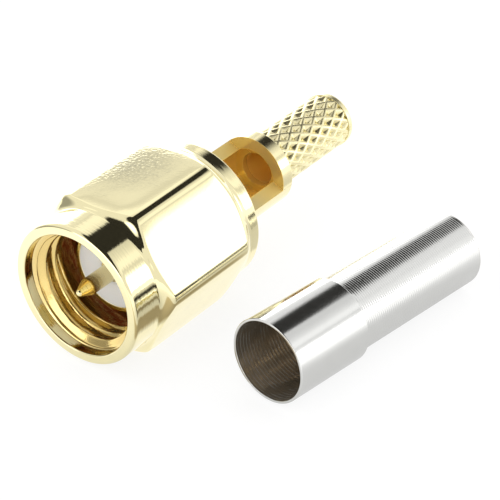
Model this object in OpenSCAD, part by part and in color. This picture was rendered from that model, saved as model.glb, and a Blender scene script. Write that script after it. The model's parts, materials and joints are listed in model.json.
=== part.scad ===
// SMA crimp plug for thin coaxial cable: a hexagonal coupling nut that turns on a one-piece
// body with a solder window and a knurled crimp post, and the stepped ferrule that goes over
// the post. The ferrule lies beside the plug, as it is before the cable is fitted.
//
// The origin is on the plug's axis at the mating reference plane, where the outer conductor
// ends. +X runs from there towards the cable and +Z is up, square to the nut's lowest flat.

/* [Coupling nut] */
// Width across the flats of the hexagon
nut_af = 8; // [7.8:0.05:8.3]
// Diameter of the turned collars before and behind the hexagon
nut_collar_d = 7.68; // [7.5:0.02:7.76]
// How far the mouth stands ahead of the reference plane
nut_reach = 2.73; // [2.6:0.01:3]
// Overall length of the nut
nut_len = 9.8; // [9.4:0.05:11]
// Distance from the mouth to the front of the hexagon
hex_front = 1.94; // [1.4:0.02:2.6]
// Length of the hexagon between its two collars
hex_len = 6.85; // [5.6:0.05:7]
// Rounding of the hexagon's six long corners
hex_corner = 0.8; // [0.2:0.05:1.2]
// Angle of the front chamfer on the hexagon's corners
hex_front_angle = 30; // [20:1:40]
// Angle of the rear chamfer on the hexagon's corners
hex_rear_angle = 44; // [30:1:50]
// Chamfer on the outer edge of the mouth
mouth_edge = 0.13; // [0.05:0.01:0.2]
// Chamfer on the outer edge of the rear face
rear_edge = 0.11; // [0.05:0.01:0.2]

/* [Nut bore] */
// Diameter of the smooth counterbore at the mouth
mouth_d = 6.58; // [6.4:0.02:6.8]
// Depth of the counterbore, before its lead-in cone
mouth_depth = 0.58; // [0.3:0.02:1]
// Length of the lead-in cone from the counterbore down to the thread
lead_in = 0.25; // [0.15:0.01:0.5]
// Minor diameter of the 1/4-36 thread
thread_minor_d = 5.7; // [5.6:0.01:5.72]
// Length of the threaded bore
thread_len = 1.45; // [1.2:0.05:2]
// Diameter of the relief behind the thread
relief_d = 6.5; // [6.36:0.02:6.7]

/* [Body] */
// Outer diameter of the outer conductor's nose
nose_d = 4.6; // [4.5:0.01:4.64]
// Bore of the outer conductor, round the insulator
nose_bore_d = 4.1; // [4:0.01:4.2]
// Distance from the reference plane to the shoulder behind the nose
nose_len = 1.9; // [1.8:0.02:2.2]
// Chamfer on the nose's rim
nose_edge = 0.06; // [0.03:0.01:0.1]
// Diameter of the sleeve that the nut turns on
sleeve_d = 5.8; // [5.76:0.01:5.9]
// How far the sleeve's rear end lies inside the nut
sleeve_inset = 0.17; // [0.1:0.01:0.5]
// Outer diameter of the barrel and of its rear flange
barrel_d = 4.16; // [4:0.02:4.4]
// Distance from the reference plane to the rear flange
barrel_end = 11.45; // [11:0.05:12.5]
// Thickness of the rear flange
flange_len = 0.82; // [0.7:0.02:1.2]
// Chamfer on the flange's rear edge
flange_edge = 0.05; // [0.03:0.01:0.12]
// Bore of the barrel, which the solder window opens
barrel_bore_d = 2.8; // [2.4:0.05:3]
// How far the barrel's bore runs into the flange
bore_recess = 0.45; // [0.2:0.05:0.5]
// Diameter of the cable hole through the flange and the post
cable_hole_d = 1.9; // [1.6:0.05:2]

/* [Solder window] */
// Length of the window, which ends at the flange
window_len = 3.2; // [2.4:0.1:3.6]
// Height of the window's flats above the axis
window_floor = 0.62; // [0.5:0.02:0.9]
// Turn of the window about the axis, away from the top
window_turn = 30; // [0:1:90]

/* [Crimp post] */
// Diameter over the ridges of the knurl
post_d = 3; // [2.9:0.02:3.1]
// Length of the post behind the flange
post_len = 6.3; // [5.8:0.05:7]
// Number of ridges in each of the knurl's two crossing sets
knurl_starts = 14; // [10:1:18]
// Angle of the ridges to the axis, the same both ways
knurl_angle = 32; // [26:1:38]
// Width of each ridge's flat top
ridge_width = 0.13; // [0.08:0.01:0.18]
// Depth of the pits between the ridges
knurl_depth = 0.18; // [0.1:0.01:0.22]
// Diameter of the smooth band at the post's end
band_d = 3.07; // [3.02:0.01:3.16]
// Length of the smooth band
band_len = 0.36; // [0.3:0.01:0.6]
// Rounding of the band's outer edge
band_edge = 0.14; // [0.08:0.01:0.2]

/* [Insulator and contact] */
// Length of the insulator behind the reference plane
insulator_len = 6.6; // [6.2:0.05:6.8]
// Diameter of the centre pin
pin_d = 0.92; // [0.9:0.01:0.94]
// How far the pin's tip stands ahead of the reference plane
pin_len = 2.54; // [2.3:0.01:2.58]
// Length of the cone at the pin's tip
pin_cone = 0.76; // [0.4:0.02:0.9]
// Radius of the pin's rounded tip
pin_tip_r = 0.2; // [0.1:0.01:0.24]
// Diameter of the contact inside the insulator and of its solder cup
contact_d = 1.27; // [1.2:0.01:1.3]
// Distance from the reference plane to the barb that holds the contact in the insulator
barb_setback = 3; // [2:0.1:4]
// Length of the barb
barb_len = 0.4; // [0.3:0.05:0.6]
// How far the barb stands out
barb_height = 0.12; // [0.08:0.01:0.2]
// How far the solder cup stands behind the insulator
cup_len = 2.6; // [2:0.1:2.8]
// Bore of the solder cup
cup_bore_d = 0.56; // [0.5:0.02:0.7]
// Depth of the solder cup's bore
cup_depth = 2; // [1.4:0.1:2.4]
// Diameter of the inspection hole in the side of the cup
cup_hole_d = 0.4; // [0.3:0.02:0.5]

/* [Retaining ring and gasket] */
// Distance from the nut's rear face to its ring groove
ring_setback = 1.4; // [1:0.05:2]
// Width of the retaining ring's wire
ring_width = 0.5; // [0.4:0.02:0.6]
// Depth of the body's groove under the sleeve
ring_seat = 0.42; // [0.3:0.02:0.5]
// How far the ring stands out of the sleeve into the nut
ring_catch = 0.22; // [0.15:0.01:0.26]
// Opening between the ring's ends, in degrees
ring_gap = 26; // [16:1:40]
// Thickness of the gasket round the nose
gasket_len = 0.55; // [0.4:0.05:0.8]
// Outer diameter of the gasket
gasket_d = 5.5; // [5.3:0.02:5.6]

/* [Crimp ferrule] */
// Outer diameter of the wide sleeve, which goes over the post
ferrule_wide_d = 4.46; // [4.3:0.02:4.6]
// Outer diameter of the narrow sleeve, which grips the cable's jacket
ferrule_narrow_d = 3.96; // [3.8:0.02:4.16]
// Overall length of the ferrule
ferrule_len = 13.75; // [12:0.05:15]
// Length of the wide sleeve
ferrule_wide_len = 4.8; // [4:0.05:6]
// Length of the cone between the two sleeves, outside
ferrule_step = 0.14; // [0.1:0.01:0.3]
// Wall of the wide sleeve
ferrule_wide_wall = 0.14; // [0.12:0.01:0.3]
// Wall of the narrow sleeve
ferrule_narrow_wall = 0.19; // [0.16:0.01:0.3]
// Chamfer on the ferrule's outer edges
ferrule_edge = 0.04; // [0.02:0.01:0.06]
// Where the ferrule's wide end lies along the plug
ferrule_x = -0.19; // [-2:0.01:3]
// Distance from the plug's axis to the wide end's centre, to the side
ferrule_aside = 9.7; // [8:0.01:14]
// Turn of the ferrule on the table, away from the plug's axis
ferrule_turn = 5.9; // [0:0.1:20]

/* [Fits] */
// Running clearance between the nut and the body's sleeve, on radius
nut_clearance = 0.05; // [0.02:0.005:0.08]
// Clearance of the retaining ring in the nut's groove, each side
ring_clearance = 0.05; // [0.03:0.01:0.1]
// Fitting gap between pieces that are pushed together
fit_gap = 0.01; // [0.01:0.005:0.03]

/* [Hidden] */
$fn = 96;

// overlap that lets a cut pass cleanly through a face
cut = 1;

// stations of the nut along the axis
nut_front = -nut_reach;
nut_rear = nut_front + nut_len;
hex_start = nut_front + hex_front;
hex_end = hex_start + hex_len;
thread_start = nut_front + mouth_depth + lead_in;
thread_end = thread_start + thread_len;
corner_r = nut_af / 2 / cos(30);
corner_steps = 6;
collar_r = nut_collar_d / 2;
nut_bore_r = sleeve_d / 2 + nut_clearance;

// stations of the body along the axis
sleeve_end = nut_rear - sleeve_inset;
flange_end = barrel_end + flange_len;
post_end = flange_end + post_len;
band_start = post_end - band_len;
bore_end = barrel_end + bore_recess;

// retaining ring: seated in the body's groove, reaching into the nut's
ring_front = nut_rear - ring_setback - ring_width;
ring_inner_r = sleeve_d / 2 - ring_seat + fit_gap;
ring_outer_r = sleeve_d / 2 + ring_catch;

// knurl: rows of ridge crossings, half a diamond apart, from inside the flange into the band
knurl_step = 180 / knurl_starts;
knurl_start = flange_end - flange_len / 3;
knurl_end = band_start + band_len / 3;
diamond_half = PI * post_d / knurl_starts / tan(knurl_angle) / 2;
knurl_rows = 2 * round((knurl_end - knurl_start) / diamond_half / 2);
row_len = (knurl_end - knurl_start) / knurl_rows;
// the ridge's half width as angle and as length, measured at a crossing of two ridges
ridge_half_turn = ridge_width / cos(knurl_angle) / post_d * 180 / PI;
ridge_half_len = ridge_width / sin(knurl_angle) / 2;

// ferrule at rest: its shoulder and its narrow end both touch the table
table = -nut_af / 2;
ferrule_drop = (ferrule_wide_d - ferrule_narrow_d) / 2;
ferrule_tilt = atan(ferrule_drop / (ferrule_len - ferrule_wide_len));
ferrule_height = table + ferrule_wide_d / 2 / cos(ferrule_tilt)
    + ferrule_wide_len * sin(ferrule_tilt);

// Lays what is drawn along Z on the plug's axis, so that a profile's [x, y] is [radius, station].
module along_axis() {
    rotate([0, 90, 0])
        children();
}

// A turned solid from a profile of [radius, station] points.
module turned(profile) {
    along_axis()
        rotate_extrude()
            polygon(profile);
}

// A plain cylinder on the axis, from one station to another.
module rod(d, from, to) {
    along_axis()
        translate([0, 0, from])
            cylinder(d = d, h = to - from);
}

// The hexagon across the axis. Each corner is an arc that touches both flats beside it.
function hexagon_outline() = [
    for (corner = [30 : 60 : 330]) for (a = [-30 : 60 / corner_steps : 30])
        (nut_af / 2 - hex_corner) / cos(30) * [cos(corner), sin(corner)]
            + hex_corner * [cos(corner + a), sin(corner + a)]
];

// The hexagon, with its corners turned off by the front and rear cones.
module nut_hexagon() {
    spare = corner_r + cut;
    front_run = (spare - collar_r) * tan(hex_front_angle);
    rear_run = (spare - collar_r) * tan(hex_rear_angle);
    intersection() {
        along_axis()
            translate([0, 0, hex_start])
                linear_extrude(hex_len)
                    polygon(hexagon_outline());
        turned([
            [0, hex_start], [collar_r, hex_start], [spare, hex_start + front_run],
            [spare, hex_end - rear_run], [collar_r, hex_end], [0, hex_end]
        ]);
    }
}

module coupling_nut() {
    color("gold")
        difference() {
            union() {
                nut_hexagon();
                turned([
                    [0, nut_front], [collar_r - mouth_edge, nut_front],
                    [collar_r, nut_front + mouth_edge], [collar_r, nut_rear - rear_edge],
                    [collar_r - rear_edge, nut_rear], [0, nut_rear]
                ]);
            }
            turned([
                [0, nut_front - cut], [mouth_d / 2, nut_front - cut],
                [mouth_d / 2, nut_front + mouth_depth], [thread_minor_d / 2, thread_start],
                [thread_minor_d / 2, thread_end], [0, thread_end]
            ]);
            rod(relief_d, thread_end, nose_len);
            rod(2 * nut_bore_r, nose_len, nut_rear + cut);
            rod(2 * (ring_outer_r + ring_clearance), ring_front - ring_clearance,
                ring_front + ring_width + ring_clearance);
        }
}

// Everything that the lathe turns on the body, before boring.
module body_blank() {
    groove_r = sleeve_d / 2 - ring_seat;
    turned([
        [0, 0], [nose_d / 2 - nose_edge, 0], [nose_d / 2, nose_edge], [nose_d / 2, nose_len],
        [sleeve_d / 2, nose_len], [sleeve_d / 2, ring_front - fit_gap],
        [groove_r, ring_front - fit_gap], [groove_r, ring_front + ring_width + fit_gap],
        [sleeve_d / 2, ring_front + ring_width + fit_gap], [sleeve_d / 2, sleeve_end],
        [barrel_d / 2, sleeve_end], [barrel_d / 2, flange_end - flange_edge],
        [barrel_d / 2 - flange_edge, flange_end], [0, flange_end]
    ]);
}

// The smooth band at the post's end, with its rounded outer edge.
module post_band() {
    centre = [band_d / 2 - band_edge, post_end - band_edge];
    turned(concat(
        [[0, band_start], [band_d / 2, band_start]],
        [for (a = [0 : 15 : 90]) centre + band_edge * [cos(a), sin(a)]],
        [[0, post_end]]
    ));
}

// A point of the knurl at an angle round the axis, a station and a radius.
function knurl_point(turn, station, r) = [station, r * sin(turn), r * cos(turn)];

// The corners of the crossing at a row and a place in it, and the bottom of the pit beside it.
// In order: the corner before, the corner after, towards the flange, towards the band, the pit.
// The first and last rows are cut through the middle of their crossings.
function crossing(row, i) =
    let (
        turn = (2 * i + row % 2) * knurl_step,
        station = knurl_start + row * row_len,
        r = post_d / 2
    )
    [
        knurl_point(turn - ridge_half_turn, station, r),
        knurl_point(turn + ridge_half_turn, station, r),
        knurl_point(turn, station - (row > 0 ? ridge_half_len : 0), r),
        knurl_point(turn, station + (row < knurl_rows ? ridge_half_len : 0), r),
        knurl_point(turn + knurl_step, station, r - knurl_depth)
    ];

// Index of one of a crossing's five points. Places past the last one come round to the first.
function at(row, i, k) =
    5 * (row * knurl_starts + (i + knurl_starts) % knurl_starts) + k;

// The diamond knurl as one closed solid: each crossing is a small flat diamond, each ridge a
// narrow quadrilateral between two crossings, and each pit four walls that meet at its bottom.
module knurl() {
    last = knurl_rows;
    ring = [for (i = [0 : knurl_starts - 1]) i];
    points = concat(
        [for (row = [0 : last]) for (i = ring) each crossing(row, i)],
        [[knurl_start, 0, 0], [knurl_end, 0, 0]]
    );
    first_centre = len(points) - 2;
    last_centre = len(points) - 1;
    // flat tops of the crossings, halved in the first and last rows
    tops = [
        for (row = [0 : last]) for (i = ring) each [
            if (row > 0) [at(row, i, 0), at(row, i, 2), at(row, i, 1)],
            if (row < last) [at(row, i, 0), at(row, i, 1), at(row, i, 3)]
        ]
    ];
    // the two ridges that leave each crossing for the next row, before it and after it
    ridges = [
        for (row = [0 : last - 1]) for (i = ring)
            let (after = i + row % 2, before = after - 1)
            each [
                [at(row, i, 1), at(row + 1, after, 0), at(row, i, 3)],
                [at(row, i, 1), at(row + 1, after, 2), at(row + 1, after, 0)],
                [at(row, i, 3), at(row + 1, before, 2), at(row, i, 0)],
                [at(row, i, 3), at(row + 1, before, 1), at(row + 1, before, 2)]
            ]
    ];
    // the walls of the pit after each crossing, towards the flange and towards the band
    pits = [
        for (row = [0 : last]) for (i = ring)
            let (beside = i + row % 2)
            each [
                if (row > 0) [at(row, i, 1), at(row - 1, beside, 3), at(row, i, 4)],
                if (row > 0) [at(row, i, 4), at(row - 1, beside, 3), at(row, i + 1, 0)],
                if (row < last) [at(row, i, 1), at(row, i, 4), at(row + 1, beside, 2)],
                if (row < last) [at(row, i, 4), at(row, i + 1, 0), at(row + 1, beside, 2)]
            ]
    ];
    // flat ends, as fans round the axis
    ends = [
        for (i = ring) each [
            [at(0, i, 0), first_centre, at(0, i, 1)],
            [at(0, i, 1), first_centre, at(0, i, 4)],
            [at(0, i, 4), first_centre, at(0, i + 1, 0)],
            [at(last, i, 1), last_centre, at(last, i, 0)],
            [at(last, i, 4), last_centre, at(last, i, 1)],
            [at(last, i + 1, 0), last_centre, at(last, i, 4)]
        ]
    ];
    polyhedron(points = points, faces = concat(tops, ridges, pits, ends));
}

module connector_body() {
    color("gold")
        difference() {
            union() {
                body_blank();
                knurl();
                post_band();
            }
            rod(nose_bore_d, -cut, insulator_len);
            rod(barrel_bore_d, insulator_len - cut, bore_end);
            rod(cable_hole_d, bore_end - cut, post_end + cut);
            rotate([window_turn, 0, 0])
                translate([barrel_end - window_len, -barrel_d, window_floor])
                    cube([window_len, 2 * barrel_d, barrel_d]);
        }
}

module retaining_ring() {
    color("peru")
        difference() {
            turned([
                [ring_inner_r, ring_front], [ring_outer_r, ring_front],
                [ring_outer_r, ring_front + ring_width], [ring_inner_r, ring_front + ring_width]
            ]);
            along_axis()
                translate([0, 0, ring_front - cut])
                    linear_extrude(ring_width + 2 * cut)
                        polygon([
                            [0, 0],
                            2 * sleeve_d * [cos(ring_gap / 2), sin(ring_gap / 2)],
                            2 * sleeve_d * [cos(ring_gap / 2), -sin(ring_gap / 2)]
                        ]);
        }
}

module gasket() {
    color("firebrick")
        difference() {
            rod(gasket_d, nose_len - gasket_len, nose_len);
            rod(nose_d + 2 * fit_gap, nose_len - gasket_len - cut, nose_len + cut);
        }
}

// The contact's barb on a shaft of radius r, grown lengthwise by a gap at each end.
module contact_barb(r, gap) {
    turned([
        [0, barb_setback - gap], [r, barb_setback - gap],
        [r + barb_height, barb_setback + barb_len - gap],
        [r + barb_height, barb_setback + barb_len + gap], [0, barb_setback + barb_len + gap]
    ]);
}

module dielectric() {
    color("whitesmoke")
        difference() {
            rod(nose_bore_d - 2 * fit_gap, 0, insulator_len);
            rod(contact_d + 2 * fit_gap, -cut, insulator_len + cut);
            contact_barb(contact_d / 2 + fit_gap, fit_gap);
        }
}

// The pin, with its cone and round tip, and the thicker rear with its solder cup.
module centre_contact() {
    tip_centre = -pin_len + pin_tip_r;
    cup_end = insulator_len + cup_len;
    color("gold")
        difference() {
            union() {
                turned(concat(
                    [for (a = [-90 : 15 : -15]) [0, tip_centre] + pin_tip_r * [cos(a), sin(a)]],
                    [
                        [pin_d / 2, pin_cone - pin_len], [pin_d / 2, 0],
                        [contact_d / 2, 0], [contact_d / 2, cup_end], [0, cup_end]
                    ]
                ));
                contact_barb(contact_d / 2, 0);
            }
            rod(cup_bore_d, cup_end - cup_depth, cup_end + cut);
            rotate([window_turn, 0, 0])
                translate([cup_end - cup_depth / 2, 0, 0])
                    cylinder(d = cup_hole_d, h = contact_d);
        }
}

module crimp_ferrule() {
    wide_r = ferrule_wide_d / 2;
    narrow_r = ferrule_narrow_d / 2;
    wide_bore_r = wide_r - ferrule_wide_wall;
    narrow_bore_r = narrow_r - ferrule_narrow_wall;
    step_end = ferrule_wide_len + ferrule_step;
    color("silver")
        translate([ferrule_x, -ferrule_aside, ferrule_height])
            rotate([0, ferrule_tilt, -ferrule_turn])
                turned([
                    [wide_bore_r, 0], [wide_r - ferrule_edge, 0], [wide_r, ferrule_edge],
                    [wide_r, ferrule_wide_len], [narrow_r, step_end],
                    [narrow_r, ferrule_len - ferrule_edge],
                    [narrow_r - ferrule_edge, ferrule_len], [narrow_bore_r, ferrule_len],
                    [narrow_bore_r, step_end], [wide_bore_r, ferrule_wide_len]
                ]);
}

coupling_nut();
connector_body();
retaining_ring();
gasket();
dielectric();
centre_contact();
crimp_ferrule();
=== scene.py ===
# SMA crimp plug and its crimp ferrule: the finished surfaces, the table and the light tent.
# Sections follow the order of assembly: the turned body, what is pressed into it, the seal and
# the ring, the coupling nut that goes over them, and last the ferrule that lies beside the plug.

import json
import math

import bpy
import numpy as np
from mathutils import Matrix, Vector


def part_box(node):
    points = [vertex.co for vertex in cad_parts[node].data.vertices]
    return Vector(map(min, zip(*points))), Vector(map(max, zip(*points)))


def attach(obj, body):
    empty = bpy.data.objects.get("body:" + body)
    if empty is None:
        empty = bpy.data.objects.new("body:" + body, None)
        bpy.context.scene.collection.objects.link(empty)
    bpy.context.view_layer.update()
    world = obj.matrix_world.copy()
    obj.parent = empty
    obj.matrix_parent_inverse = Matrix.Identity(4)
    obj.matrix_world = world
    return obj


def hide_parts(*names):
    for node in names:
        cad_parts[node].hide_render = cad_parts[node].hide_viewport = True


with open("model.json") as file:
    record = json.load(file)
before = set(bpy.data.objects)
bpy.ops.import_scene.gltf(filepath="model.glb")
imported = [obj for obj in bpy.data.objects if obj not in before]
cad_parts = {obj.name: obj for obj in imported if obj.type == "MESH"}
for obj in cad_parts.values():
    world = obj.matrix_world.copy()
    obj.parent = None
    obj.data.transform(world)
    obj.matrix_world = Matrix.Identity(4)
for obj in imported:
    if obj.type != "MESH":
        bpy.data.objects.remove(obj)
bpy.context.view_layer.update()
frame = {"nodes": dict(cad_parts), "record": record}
mm = 0.001


# ---- Connector body ----------------------------------------------------------------------
# One brass bar, turned, bored, milled open at the solder window and knurled on its crimp
# post, then gold plated. Its nose is the outer conductor and the nut turns on its sleeve.

def rounded(corners, radii, steps=5):
    """A closed profile of [station, radius] corners with each corner turned into an arc.

    An arc of the given radius touches both edges of its corner, and shrinks so as to take no
    more than a share of an edge. A guard point beyond each end of an arc lets the flat stretch
    that follows shade flat.
    """
    edge_share, guard = 0.35, 0.3
    corners = np.asarray(corners, float)
    radii = np.broadcast_to(radii, len(corners))
    outline = []
    for i, corner in enumerate(corners):
        back = corners[i - 1] - corner
        ahead = corners[(i + 1) % len(corners)] - corner
        back_len, ahead_len = np.linalg.norm(back), np.linalg.norm(ahead)
        back, ahead = back / back_len, ahead / ahead_len
        half = math.acos(np.clip(back @ ahead, -1, 1)) / 2
        tangent = min(radii[i] / math.tan(half), edge_share * min(back_len, ahead_len))
        centre = corner + (back + ahead) * tangent / (2 * math.cos(half) ** 2)
        start, end = corner + back * tangent, corner + ahead * tangent
        sweep = math.pi - 2 * half
        turn = np.linspace(0, sweep, steps + 1)[:, None]
        arc = (start - centre) * np.sin(sweep - turn) + (end - centre) * np.sin(turn)
        outline.append(start + guard * back * tangent)
        outline.extend(centre + arc / math.sin(sweep))
        outline.append(end + guard * ahead * tangent)
    return np.array(outline)


def divided(outline, gap):
    """The closed outline with each edge cut into equal steps no longer than gap(middle)."""
    closed = np.vstack([outline, outline[:1]])
    middles = (closed[1:] + closed[:-1]) / 2
    lengths = np.linalg.norm(np.diff(closed, axis=0), axis=1)
    counts = np.maximum(1, np.ceil(lengths / gap(middles[:, 0], middles[:, 1]))).astype(int)
    edge = np.repeat(np.arange(len(counts)), counts)
    first = np.cumsum(counts) - counts
    share = (np.arange(counts.sum()) - first[edge]) / counts[edge]
    return closed[edge] + (closed[edge + 1] - closed[edge]) * share[:, None]


def turned_piece(name, station, reach, angles, poles=False):
    """A closed shell round the X axis, from grids of rows along it by columns round it.

    A point is (station, reach cos angle, reach sin angle), in mm. The rows run rearwards
    outside and forwards inside, and close on themselves. With poles, the first and the last
    row lie on the axis and each is a single point. The UV map holds the distance along the
    profile in mm and the share of a turn.
    """
    rows, columns = station.shape
    points = np.stack([station, reach * np.cos(angles), reach * np.sin(angles)], axis=-1) * mm
    index = np.arange(rows * columns).reshape(rows, columns)
    if poles:
        points = np.vstack([points[0, :1], points[1:-1].reshape(-1, 3), points[-1, :1]])
        index = np.clip(index - columns + 1, 0, len(points) - 1)
        index[0], index[-1] = 0, len(points) - 1
    else:
        index = np.vstack([index, index[:1]])
    low, high = index[:-1], index[1:]
    faces = np.stack([low, np.roll(low, -1, 1), np.roll(high, -1, 1), high], axis=-1)
    profile = np.stack([station[:, 0], reach[:, 0]], axis=-1)
    steps = np.linalg.norm(np.diff(np.vstack([profile, profile[:1]]), axis=0), axis=1)
    travel = np.concatenate([[0], np.cumsum(steps)])[:len(index)]
    share = np.arange(columns + 1) / columns
    u, v = np.meshgrid(travel, share, indexing="ij")
    grid = np.stack([u, v], axis=-1)
    uv = np.stack([grid[:-1, :-1], grid[:-1, 1:], grid[1:, 1:], grid[1:, :-1]], axis=2)
    middle = slice(1, -1) if poles else slice(None)
    polygons = faces[middle].reshape(-1, 4).tolist()
    corner_uv = uv[middle].reshape(-1, 2)
    if poles:
        polygons += faces[0][:, [0, 2, 3]].tolist() + faces[-1][:, [0, 1, 2]].tolist()
        caps = [uv[0][:, [0, 2, 3]].reshape(-1, 2), uv[-1][:, [0, 1, 2]].reshape(-1, 2)]
        corner_uv = np.vstack([corner_uv, *caps])
    mesh = bpy.data.meshes.new(name)
    mesh.from_pydata(points.reshape(-1, 3).tolist(), [], polygons)
    layer = mesh.uv_layers.new(name="turning")
    layer.data.foreach_set("uv", corner_uv.astype(np.float32).ravel())
    mesh.shade_smooth()
    piece = bpy.data.objects.new(name, mesh)
    bpy.context.scene.collection.objects.link(piece)
    return piece


def plain_turning(name, outline, columns, poles=False):
    """A turned piece that is round all the way: the outline carried once round the axis."""
    angles = np.arange(columns) * 2 * np.pi / columns
    station = np.repeat(outline[:, :1], columns, axis=1)
    reach = np.repeat(outline[:, 1:], columns, axis=1)
    return turned_piece(name, station, reach, angles, poles)


def add_node(tree, kind, settings=None, **sockets):
    """One shader node with its settings, whose inputs are linked to a socket or set to a value.

    An input goes by its name, or by i and its number where the names repeat.
    """
    node = tree.nodes.new(kind)
    for key, value in (settings or {}).items():
        setattr(node, key, value)
    for key, value in sockets.items():
        numbered = key[0] == "i" and key[1:].isdigit()
        socket = node.inputs[int(key[1:]) if numbered else key.replace("_", " ")]
        if isinstance(value, bpy.types.NodeSocket):
            tree.links.new(value, socket)
        else:
            socket.default_value = value
    return node


def maths(tree, operation, *values):
    """The result of one math node on sockets or numbers."""
    inputs = {f"i{number}": value for number, value in enumerate(values)}
    return add_node(tree, "ShaderNodeMath", {"operation": operation}, **inputs).outputs[0]


def mixed(tree, share, first, second):
    """The first colour where the share is 0 and the second where it is 1.

    The share is a socket, and each colour is a socket or three numbers.
    """
    first, second = [(*c, 1) if isinstance(c, tuple) else c for c in (first, second)]
    return add_node(
        tree, "ShaderNodeMix", {"data_type": "RGBA"}, Factor=share, A=first, B=second,
    ).outputs["Result"]


def place_in_mm(tree):
    """A point's own place on its piece, in mm."""
    place = add_node(tree, "ShaderNodeTexCoord").outputs["Object"]
    return add_node(
        tree, "ShaderNodeVectorMath", {"operation": "SCALE"}, Vector=place, Scale=1 / mm,
    ).outputs[0]


def new_group(name, inputs, outputs):
    """A node group with float or colour sockets, the sockets it is given and its output node."""
    tree = bpy.data.node_groups.new(name, "ShaderNodeTree")
    for direction, sockets in (("INPUT", inputs), ("OUTPUT", outputs)):
        for socket, kind in sockets.items():
            tree.interface.new_socket(
                socket, in_out=direction, socket_type=f"NodeSocket{kind}",
            )
    return tree, tree.nodes.new("NodeGroupInput").outputs, tree.nodes.new("NodeGroupOutput")


def plating_group():
    """The plated surface: turning lines round the X axis, a fine grain, and a soft cloudiness.

    It reads Object coordinates, scaled to mm. Turning lines are noise that is squeezed along
    the axis and stretched round it. It gives a height in mm, a roughness and a shade.
    """
    tree, given, made = new_group("Plated surface", {
        "Line height": "Float", "Line pitch": "Float", "Grain height": "Float",
        "Grain size": "Float", "Roughness": "Float", "Cloudiness": "Float",
    }, {"Height": "Float", "Roughness": "Float", "Shade": "Float"})
    place = place_in_mm(tree)
    stretch = 0.35
    per_line = maths(tree, "DIVIDE", 1.0, given["Line pitch"])
    squeeze = add_node(tree, "ShaderNodeCombineXYZ", X=per_line, Y=stretch, Z=stretch)
    along = add_node(
        tree, "ShaderNodeVectorMath", {"operation": "MULTIPLY"}, i0=place, i1=squeeze.outputs[0],
    )
    lines = add_node(
        tree, "ShaderNodeTexNoise", Vector=along.outputs[0], Scale=1.0, Detail=2.0, Roughness=0.6,
    )
    per_grain = maths(tree, "DIVIDE", 1.0, given["Grain size"])
    grain = add_node(
        tree, "ShaderNodeTexNoise", Vector=place, Scale=per_grain, Detail=2.5, Roughness=0.55,
    )
    clouds = add_node(
        tree, "ShaderNodeTexNoise", Vector=place, Scale=0.9, Detail=3.0, Roughness=0.6,
    )
    line_part = maths(tree, "MULTIPLY", lines.outputs["Fac"], given["Line height"])
    height = maths(tree, "MULTIPLY_ADD", grain.outputs["Fac"], given["Grain height"], line_part)
    centred = maths(tree, "SUBTRACT", clouds.outputs["Fac"], 0.5)
    swing = maths(tree, "MULTIPLY", centred, given["Cloudiness"])
    rough = add_node(
        tree, "ShaderNodeMath", {"operation": "MULTIPLY_ADD", "use_clamp": True}, i0=swing,
        i1=0.5, i2=given["Roughness"],
    )
    shade = maths(tree, "SUBTRACT", 1.0, swing)
    tree.links.new(height, made.inputs["Height"])
    tree.links.new(rough.outputs[0], made.inputs["Roughness"])
    tree.links.new(shade, made.inputs["Shade"])
    return tree


plated_surface = plating_group()


def new_material(name):
    """A material with nothing but its Principled shader, and that shader."""
    material = bpy.data.materials.new(name)
    material.use_nodes = True
    return material, material.node_tree, material.node_tree.nodes["Principled BSDF"]


def plated_metal(name, colour, shade_colour, shade_mask, shade_metal, **surface):
    """Bright plating: a mirror of its colour, with the lines, grain and clouds of its surface.

    Inside bores it takes the shade colour: painted shade and a painted warm inter-reflection
    that stand in for the dim light there. The mask says where: a function that gets the tree
    and gives a socket from 0 outside to 1 inside. There only the given share of it still
    mirrors, which is part of the painted shade.
    """
    material, tree, shader = new_material(name)
    plating = add_node(tree, "ShaderNodeGroup", {"node_tree": plated_surface})
    for key, value in surface.items():
        plating.inputs[key.replace("_", " ")].default_value = value
    deep = shade_mask(tree)
    shaded = add_node(
        tree, "ShaderNodeVectorMath", {"operation": "SCALE"},
        Vector=mixed(tree, deep, colour, shade_colour), Scale=plating.outputs["Shade"],
    )
    bump = add_node(tree, "ShaderNodeBump", Distance=mm, Height=plating.outputs["Height"])
    tree.links.new(shaded.outputs[0], shader.inputs["Base Color"])
    tree.links.new(plating.outputs["Roughness"], shader.inputs["Roughness"])
    tree.links.new(bump.outputs[0], shader.inputs["Normal"])
    bright = maths(tree, "MULTIPLY_ADD", deep, shade_metal - 1, 1.0)
    tree.links.new(bright, shader.inputs["Metallic"])
    return material


def axis_group():
    """Where a point is on the plug: its distance from the axis and its station along it, in mm."""
    tree, _, made = new_group("Axis distance", {}, {"Distance": "Float", "Station": "Float"})
    place = place_in_mm(tree)
    across = add_node(
        tree, "ShaderNodeVectorMath", {"operation": "MULTIPLY"}, i0=place, i1=(0, 1, 1),
    ).outputs[0]
    distance = add_node(tree, "ShaderNodeVectorMath", {"operation": "LENGTH"}, i0=across)
    station = add_node(tree, "ShaderNodeSeparateXYZ", Vector=place)
    tree.links.new(distance.outputs["Value"], made.inputs["Distance"])
    tree.links.new(station.outputs["X"], made.inputs["Station"])
    return tree


axis_place = axis_group()


def axis_distance(tree):
    """Distance from the plug's axis, in mm, and the station along it, in mm."""
    found = add_node(tree, "ShaderNodeGroup", {"node_tree": axis_place}).outputs
    return found["Distance"], found["Station"]


def ramp(tree, value, start, end):
    """A smooth step of a value, from 0 at start to 1 at end."""
    step = add_node(
        tree, "ShaderNodeMapRange", {"interpolation_type": "SMOOTHSTEP"}, Value=value,
        From_Min=start, From_Max=end,
    )
    return step.outputs["Result"]


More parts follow.
